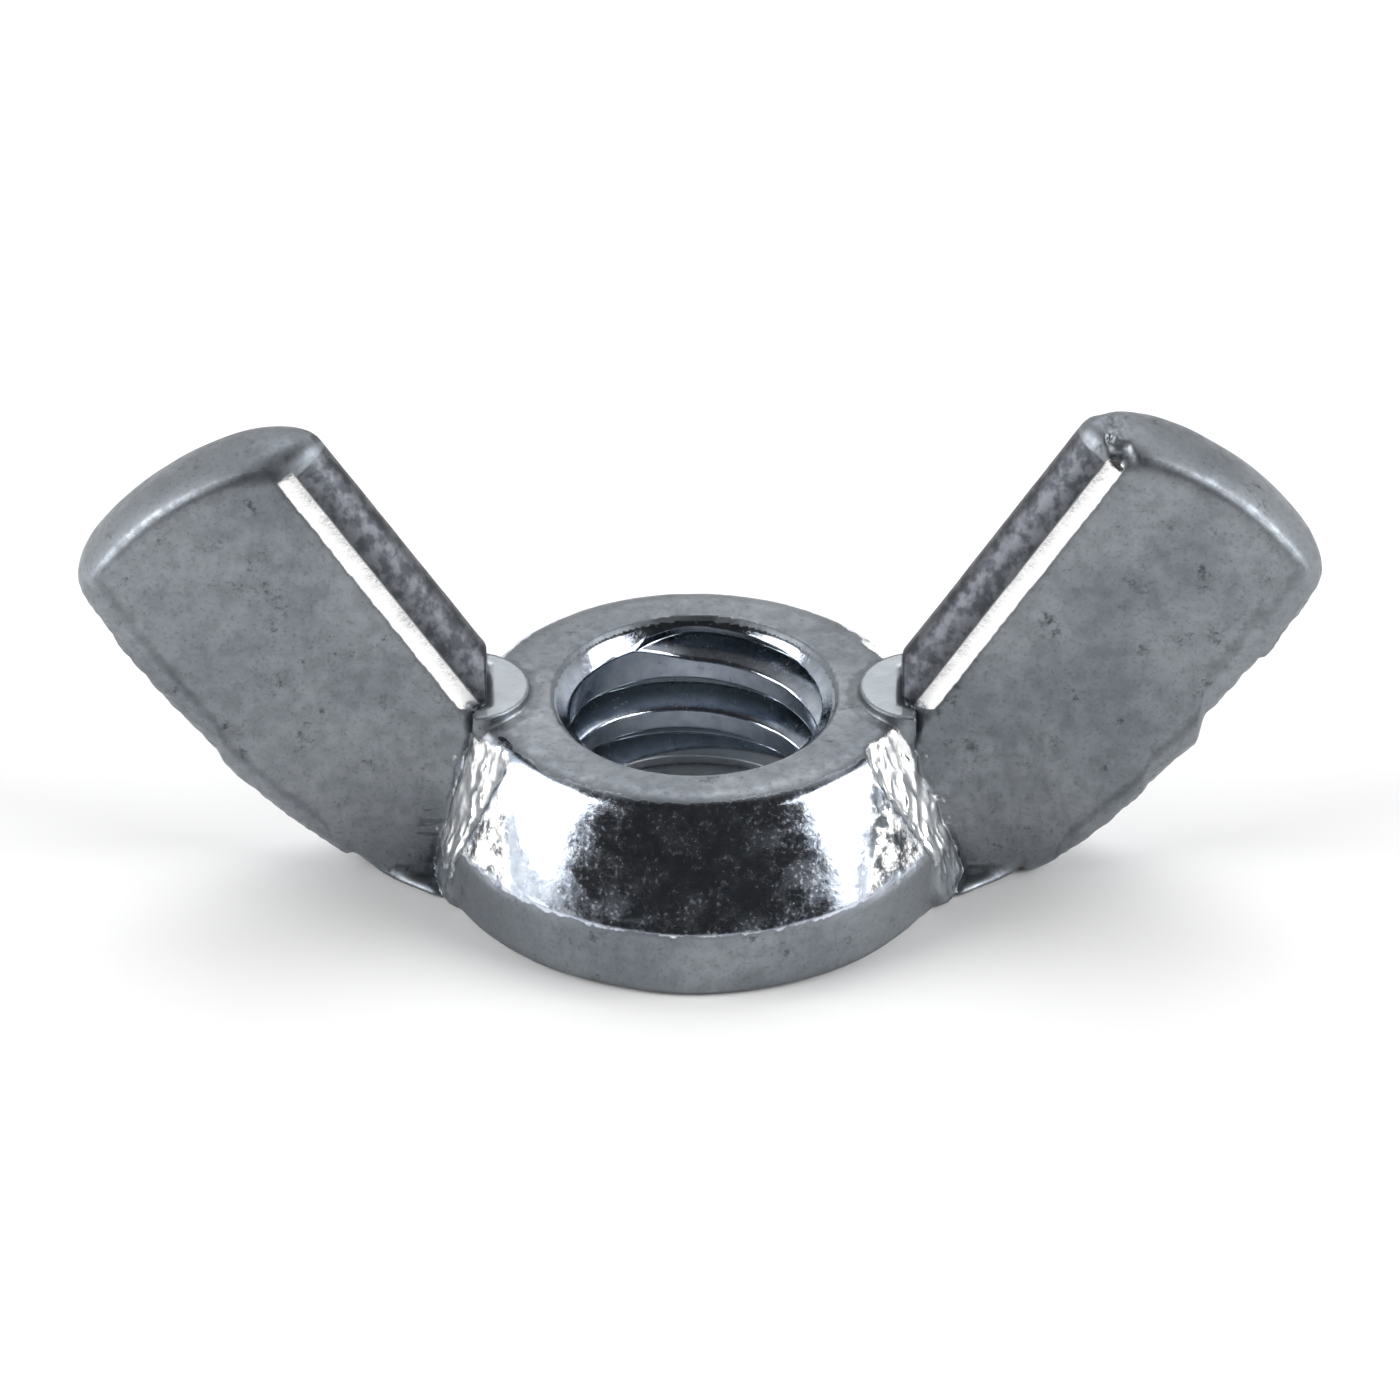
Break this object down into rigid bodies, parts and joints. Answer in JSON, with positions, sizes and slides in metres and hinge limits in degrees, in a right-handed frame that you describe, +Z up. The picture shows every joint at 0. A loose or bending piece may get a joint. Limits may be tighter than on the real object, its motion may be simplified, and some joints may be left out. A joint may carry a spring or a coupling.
{
  "type": "wing nut",
  "caption": "Cold-forged zinc-plated steel wing nut: conical boss with a threaded hole and two upswept flat wings, tightened by hand.",
  "frame": {"origin": "centre of the bearing face, on the axis of the threaded hole", "axes": "+X along the wings towards the wider wing, +Z up the threaded hole from the bearing face to the ring, +Y away from the front"},
  "size_m": [0.0262, 0.0108, 0.011],
  "materials": {
    "burnished_zinc": "zinc plate burnished by the forging die, glossy with fine scratches",
    "forged_zinc": "matte blue-grey zinc plate with fine pits, bright along worn edges",
    "cut_thread": "cut thread under thin bright zinc plate"
  },
  "bodies": {
    "root": {"boss": "burnished_zinc", "thread": "cut_thread", "wing_left": "forged_zinc", "wing_right": "forged_zinc"}
  },
  "joints": []
}
